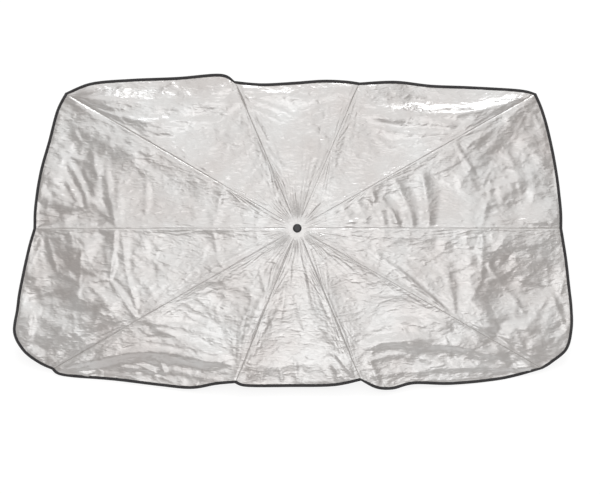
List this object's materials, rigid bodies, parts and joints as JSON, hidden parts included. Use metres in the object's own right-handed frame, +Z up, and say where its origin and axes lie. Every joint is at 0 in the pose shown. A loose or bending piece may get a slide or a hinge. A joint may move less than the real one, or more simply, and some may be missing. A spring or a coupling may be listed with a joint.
{
  "type": "windscreen sunshade",
  "caption": "Folding umbrella-style windscreen sunshade: wide silver canopy with a dark bound edge on folding ribs, a sliding runner and a telescoping shaft with a short handle.",
  "frame": {"origin": "middle of the floor area under the open shade as it rests on its hem and its handle", "axes": "+X to the right along the long edges, +Y from the wide lower edge towards the upper edge, +Z up"},
  "size_m": [1.4308, 0.6566, 0.4851],
  "materials": {
    "silver_cloth": "silver coated, semi-gloss",
    "binding": "woven tape",
    "dark_steel": "black painted",
    "fibreglass": "glossy",
    "tube_steel": "plated",
    "wire_steel": "plain",
    "grip": "matt",
    "black_plastic": "satin"
  },
  "bodies": {
    "shade": {"cap": "black_plastic", "crown": "black_plastic", "crown_ring_wire": "wire_steel", "upper_tube": "tube_steel", "edge_binding": "binding", "canopy_gore_1": "silver_cloth", "canopy_gore_2": "silver_cloth", "canopy_gore_3": "silver_cloth", "canopy_gore_4": "silver_cloth", "canopy_gore_5": "silver_cloth", "canopy_gore_6": "silver_cloth", "canopy_gore_7": "silver_cloth", "canopy_gore_8": "silver_cloth", "canopy_gore_9": "silver_cloth", "canopy_gore_10": "silver_cloth"},
    "handle": {"lower_tube": "tube_steel", "handle_grip": "grip", "handle_end_cap": "black_plastic"},
    "runner": {"runner": "black_plastic"},
    "catch": {"spring_catch": "wire_steel"},
    "inner_rib_1": {"inner_rib_1": "dark_steel"},
    "stretcher_1": {"stretcher_1": "dark_steel"},
    "middle_rib_1": {"middle_rib_1": "fibreglass"},
    "end_rib_1": {"end_rib_1": "fibreglass"},
    "inner_rib_2": {"inner_rib_2": "dark_steel"},
    "stretcher_2": {"stretcher_2": "dark_steel"},
    "middle_rib_2": {"middle_rib_2": "fibreglass"},
    "end_rib_2": {"end_rib_2": "fibreglass"},
    "inner_rib_3": {"inner_rib_3": "dark_steel"},
    "stretcher_3": {"stretcher_3": "dark_steel"},
    "end_rib_3": {"end_rib_3": "fibreglass"},
    "inner_rib_4": {"inner_rib_4": "dark_steel"},
    "stretcher_4": {"stretcher_4": "dark_steel"},
    "end_rib_4": {"end_rib_4": "fibreglass"},
    "inner_rib_5": {"inner_rib_5": "dark_steel"},
    "stretcher_5": {"stretcher_5": "dark_steel"},
    "middle_rib_5": {"middle_rib_5": "fibreglass"},
    "end_rib_5": {"end_rib_5": "fibreglass"},
    "inner_rib_6": {"inner_rib_6": "dark_steel"},
    "stretcher_6": {"stretcher_6": "dark_steel"},
    "middle_rib_6": {"middle_rib_6": "fibreglass"},
    "end_rib_6": {"end_rib_6": "fibreglass"},
    "inner_rib_7": {"inner_rib_7": "dark_steel"},
    "stretcher_7": {"stretcher_7": "dark_steel"},
    "middle_rib_7": {"middle_rib_7": "fibreglass"},
    "end_rib_7": {"end_rib_7": "fibreglass"},
    "inner_rib_8": {"inner_rib_8": "dark_steel"},
    "stretcher_8": {"stretcher_8": "dark_steel"},
    "end_rib_8": {"end_rib_8": "fibreglass"},
    "inner_rib_9": {"inner_rib_9": "dark_steel"},
    "stretcher_9": {"stretcher_9": "dark_steel"},
    "end_rib_9": {"end_rib_9": "fibreglass"},
    "inner_rib_10": {"inner_rib_10": "dark_steel"},
    "stretcher_10": {"stretcher_10": "dark_steel"},
    "middle_rib_10": {"middle_rib_10": "fibreglass"},
    "end_rib_10": {"end_rib_10": "fibreglass"}
  },
  "joints": [
    {"name": "runner_slide", "type": "slide", "parent": "shade", "child": "runner", "axis": [0, 0.5835, -0.8121], "range_m": [0, 0.13962], "deforming": ["canopy_gore_1", "canopy_gore_2", "canopy_gore_3", "canopy_gore_4", "canopy_gore_5", "canopy_gore_6", "canopy_gore_7", "canopy_gore_8", "canopy_gore_9", "canopy_gore_10", "edge_binding"]},
    {"name": "shaft_slide", "type": "slide", "parent": "shade", "child": "handle", "axis": [0, -0.5835, 0.8121], "range_m": [0, 0.034]},
    {"name": "catch_press", "type": "slide", "parent": "shade", "child": "catch", "axis": [-1, 0, 0], "range_m": [0, 0.0013], "stiffness_N_per_m": 1500, "springref_m": -0.0005},
    {"name": "inner_rib_1_fold", "type": "hinge", "parent": "shade", "child": "inner_rib_1", "pos_m": [0.02138, -0.01558, 0.2804], "axis": [0, 0.8121, 0.5835], "range_deg": [0, 84.55]},
    {"name": "stretcher_1_fold", "type": "hinge", "parent": "inner_rib_1", "child": "stretcher_1", "pos_m": [0.11438, -0.0132, 0.2771], "axis": [0, 0.8121, 0.5835], "range_deg": [-140.31, 0]},
    {"name": "middle_rib_1_fold", "type": "hinge", "parent": "inner_rib_1", "child": "middle_rib_1", "pos_m": [0.22238, -0.01162, 0.2749], "axis": [0, 0.8121, 0.5835], "range_deg": [-176.05, 0]},
    {"name": "end_rib_1_fold", "type": "hinge", "parent": "middle_rib_1", "child": "end_rib_1", "pos_m": [0.47038, 0.00466, 0.25224], "axis": [0, 0.8121, 0.5835], "range_deg": [0, 170.05]},
    {"name": "inner_rib_2_fold", "type": "hinge", "parent": "shade", "child": "inner_rib_2", "pos_m": [0.01995, -0.01118, 0.28356], "axis": [-0.4924, 0.7068, 0.5079], "range_deg": [0, 84.55]},
    {"name": "stretcher_2_fold", "type": "hinge", "parent": "inner_rib_2", "child": "stretcher_2", "pos_m": [0.1009, 0.02838, 0.30699], "axis": [-0.4924, 0.7068, 0.5079], "range_deg": [-140.31, 0]},
    {"name": "middle_rib_2_fold", "type": "hinge", "parent": "inner_rib_2", "child": "middle_rib_2", "pos_m": [0.19489, 0.07316, 0.33582], "axis": [-0.4924, 0.7068, 0.5079], "range_deg": [-176.05, 0]},
    {"name": "end_rib_2_fold", "type": "hinge", "parent": "middle_rib_2", "child": "end_rib_2", "pos_m": [0.41074, 0.18861, 0.38442], "axis": [-0.4924, 0.7068, 0.5079], "range_deg": [0, 170.05]},
    {"name": "inner_rib_3_fold", "type": "hinge", "parent": "shade", "child": "inner_rib_3", "pos_m": [0.01471, -0.00736, 0.2863], "axis": [-0.9191, 0.3199, 0.2299], "range_deg": [0, 84.55]},
    {"name": "stretcher_3_fold", "type": "hinge", "parent": "inner_rib_3", "child": "stretcher_3", "pos_m": [0.05135, 0.06442, 0.33288], "axis": [-0.9191, 0.3199, 0.2299], "range_deg": [-140.31, 0]},
    {"name": "end_rib_3_fold", "type": "hinge", "parent": "inner_rib_3", "child": "end_rib_3", "pos_m": [0.09389, 0.14662, 0.3886], "axis": [-0.9191, 0.3199, 0.2299], "range_deg": [-176.05, 0]},
    {"name": "inner_rib_4_fold", "type": "hinge", "parent": "shade", "child": "inner_rib_4", "pos_m": [0.00608, -0.00735, 0.28631], "axis": [-0.9205, -0.3173, -0.228], "range_deg": [0, 84.55]},
    {"name": "stretcher_4_fold", "type": "hinge", "parent": "inner_rib_4", "child": "stretcher_4", "pos_m": [-0.03026, 0.06454, 0.33297], "axis": [-0.9205, -0.3173, -0.228], "range_deg": [-140.31, 0]},
    {"name": "end_rib_4_fold", "type": "hinge", "parent": "inner_rib_4", "child": "end_rib_4", "pos_m": [-0.07246, 0.14686, 0.38877], "axis": [-0.9205, -0.3173, -0.228], "range_deg": [-176.05, 0]},
    {"name": "inner_rib_5_fold", "type": "hinge", "parent": "shade", "child": "inner_rib_5", "pos_m": [0.00088, -0.01107, 0.28364], "axis": [-0.5045, -0.7012, -0.5038], "range_deg": [0, 84.55]},
    {"name": "stretcher_5_fold", "type": "hinge", "parent": "inner_rib_5", "child": "stretcher_5", "pos_m": [-0.07941, 0.02941, 0.30772], "axis": [-0.5045, -0.7012, -0.5038], "range_deg": [-140.31, 0]},
    {"name": "middle_rib_5_fold", "type": "hinge", "parent": "inner_rib_5", "child": "middle_rib_5", "pos_m": [-0.17266, 0.07524, 0.33731], "axis": [-0.5045, -0.7012, -0.5038], "range_deg": [-176.05, 0]},
    {"name": "end_rib_5_fold", "type": "hinge", "parent": "middle_rib_5", "child": "end_rib_5", "pos_m": [-0.38678, 0.19313, 0.38767], "axis": [-0.5045, -0.7012, -0.5038], "range_deg": [0, 170.05]},
    {"name": "inner_rib_6_fold", "type": "hinge", "parent": "shade", "child": "inner_rib_6", "pos_m": [-0.00062, -0.01558, 0.2804], "axis": [0, -0.8121, -0.5835], "range_deg": [0, 84.55]},
    {"name": "stretcher_6_fold", "type": "hinge", "parent": "inner_rib_6", "child": "stretcher_6", "pos_m": [-0.09362, -0.0132, 0.2771], "axis": [0, -0.8121, -0.5835], "range_deg": [-140.31, 0]},
    {"name": "middle_rib_6_fold", "type": "hinge", "parent": "inner_rib_6", "child": "middle_rib_6", "pos_m": [-0.20162, -0.01162, 0.2749], "axis": [0, -0.8121, -0.5835], "range_deg": [-176.05, 0]},
    {"name": "end_rib_6_fold", "type": "hinge", "parent": "middle_rib_6", "child": "end_rib_6", "pos_m": [-0.44962, 0.00466, 0.25224], "axis": [0, -0.8121, -0.5835], "range_deg": [0, 170.05]},
    {"name": "inner_rib_7_fold", "type": "hinge", "parent": "shade", "child": "inner_rib_7", "pos_m": [0.00083, -0.02001, 0.27721], "axis": [0.497, -0.7047, -0.5064], "range_deg": [0, 84.55]},
    {"name": "stretcher_7_fold", "type": "hinge", "parent": "inner_rib_7", "child": "stretcher_7", "pos_m": [-0.07987, -0.05518, 0.24694], "axis": [0.497, -0.7047, -0.5064], "range_deg": [-140.31, 0]},
    {"name": "middle_rib_7_fold", "type": "hinge", "parent": "inner_rib_7", "child": "middle_rib_7", "pos_m": [-0.17359, -0.09718, 0.21342], "axis": [0.497, -0.7047, -0.5064], "range_deg": [-176.05, 0]},
    {"name": "end_rib_7_fold", "type": "hinge", "parent": "middle_rib_7", "child": "end_rib_7", "pos_m": [-0.38879, -0.18099, 0.11884], "axis": [0.497, -0.7047, -0.5064], "range_deg": [0, 170.05]},
    {"name": "inner_rib_8_fold", "type": "hinge", "parent": "shade", "child": "inner_rib_8", "pos_m": [0.00626, -0.02386, 0.27445], "axis": [0.9272, -0.3042, -0.2186], "range_deg": [0, 84.55]},
    {"name": "stretcher_8_fold", "type": "hinge", "parent": "inner_rib_8", "child": "stretcher_8", "pos_m": [-0.02858, -0.09151, 0.22084], "axis": [0.9272, -0.3042, -0.2186], "range_deg": [-140.31, 0]},
    {"name": "end_rib_8_fold", "type": "hinge", "parent": "inner_rib_8", "child": "end_rib_8", "pos_m": [-0.06904, -0.17125, 0.1602], "axis": [0.9272, -0.3042, -0.2186], "range_deg": [-176.05, 0]},
    {"name": "inner_rib_9_fold", "type": "hinge", "parent": "shade", "child": "inner_rib_9", "pos_m": [0.01462, -0.02382, 0.27448], "axis": [0.9225, 0.3134, 0.2252], "range_deg": [0, 84.55]},
    {"name": "stretcher_9_fold", "type": "hinge", "parent": "inner_rib_9", "child": "stretcher_9", "pos_m": [0.05051, -0.09112, 0.22112], "axis": [0.9225, 0.3134, 0.2252], "range_deg": [-140.31, 0]},
    {"name": "end_rib_9_fold", "type": "hinge", "parent": "inner_rib_9", "child": "end_rib_9", "pos_m": [0.09219, -0.17045, 0.16077], "axis": [0.9225, 0.3134, 0.2252], "range_deg": [-176.05, 0]},
    {"name": "inner_rib_10_fold", "type": "hinge", "parent": "shade", "child": "inner_rib_10", "pos_m": [0.01992, -0.02001, 0.27721], "axis": [0.497, 0.7047, 0.5064], "range_deg": [0, 84.55]},
    {"name": "stretcher_10_fold", "type": "hinge", "parent": "inner_rib_10", "child": "stretcher_10", "pos_m": [0.10063, -0.05518, 0.24694], "axis": [0.497, 0.7047, 0.5064], "range_deg": [-140.31, 0]},
    {"name": "middle_rib_10_fold", "type": "hinge", "parent": "inner_rib_10", "child": "middle_rib_10", "pos_m": [0.19434, -0.09718, 0.21342], "axis": [0.497, 0.7047, 0.5064], "range_deg": [-176.05, 0]},
    {"name": "end_rib_10_fold", "type": "hinge", "parent": "middle_rib_10", "child": "end_rib_10", "pos_m": [0.40955, -0.18099, 0.11884], "axis": [0.497, 0.7047, 0.5064], "range_deg": [0, 170.05]}
  ],
  "couplings": [
    {"joint": "inner_rib_1_fold", "follows": "runner_slide", "rad_per_m": 10.563},
    {"joint": "stretcher_1_fold", "follows": "runner_slide", "rad_per_m": -17.533},
    {"joint": "middle_rib_1_fold", "follows": "runner_slide", "rad_per_m": -22.001},
    {"joint": "end_rib_1_fold", "follows": "runner_slide", "rad_per_m": 21.251},
    {"joint": "inner_rib_2_fold", "follows": "runner_slide", "rad_per_m": 10.563},
    {"joint": "stretcher_2_fold", "follows": "runner_slide", "rad_per_m": -17.533},
    {"joint": "middle_rib_2_fold", "follows": "runner_slide", "rad_per_m": -22.001},
    {"joint": "end_rib_2_fold", "follows": "runner_slide", "rad_per_m": 21.251},
    {"joint": "inner_rib_3_fold", "follows": "runner_slide", "rad_per_m": 10.563},
    {"joint": "stretcher_3_fold", "follows": "runner_slide", "rad_per_m": -17.533},
    {"joint": "end_rib_3_fold", "follows": "runner_slide", "rad_per_m": -22.001},
    {"joint": "inner_rib_4_fold", "follows": "runner_slide", "rad_per_m": 10.563},
    {"joint": "stretcher_4_fold", "follows": "runner_slide", "rad_per_m": -17.533},
    {"joint": "end_rib_4_fold", "follows": "runner_slide", "rad_per_m": -22.001},
    {"joint": "inner_rib_5_fold", "follows": "runner_slide", "rad_per_m": 10.563},
    {"joint": "stretcher_5_fold", "follows": "runner_slide", "rad_per_m": -17.533},
    {"joint": "middle_rib_5_fold", "follows": "runner_slide", "rad_per_m": -22.001},
    {"joint": "end_rib_5_fold", "follows": "runner_slide", "rad_per_m": 21.251},
    {"joint": "inner_rib_6_fold", "follows": "runner_slide", "rad_per_m": 10.563},
    {"joint": "stretcher_6_fold", "follows": "runner_slide", "rad_per_m": -17.533},
    {"joint": "middle_rib_6_fold", "follows": "runner_slide", "rad_per_m": -22.001},
    {"joint": "end_rib_6_fold", "follows": "runner_slide", "rad_per_m": 21.251},
    {"joint": "inner_rib_7_fold", "follows": "runner_slide", "rad_per_m": 10.563},
    {"joint": "stretcher_7_fold", "follows": "runner_slide", "rad_per_m": -17.533},
    {"joint": "middle_rib_7_fold", "follows": "runner_slide", "rad_per_m": -22.001},
    {"joint": "end_rib_7_fold", "follows": "runner_slide", "rad_per_m": 21.251},
    {"joint": "inner_rib_8_fold", "follows": "runner_slide", "rad_per_m": 10.563},
    {"joint": "stretcher_8_fold", "follows": "runner_slide", "rad_per_m": -17.533},
    {"joint": "end_rib_8_fold", "follows": "runner_slide", "rad_per_m": -22.001},
    {"joint": "inner_rib_9_fold", "follows": "runner_slide", "rad_per_m": 10.563},
    {"joint": "stretcher_9_fold", "follows": "runner_slide", "rad_per_m": -17.533},
    {"joint": "end_rib_9_fold", "follows": "runner_slide", "rad_per_m": -22.001},
    {"joint": "inner_rib_10_fold", "follows": "runner_slide", "rad_per_m": 10.563},
    {"joint": "stretcher_10_fold", "follows": "runner_slide", "rad_per_m": -17.533},
    {"joint": "middle_rib_10_fold", "follows": "runner_slide", "rad_per_m": -22.001},
    {"joint": "end_rib_10_fold", "follows": "runner_slide", "rad_per_m": 21.251}
  ]
}
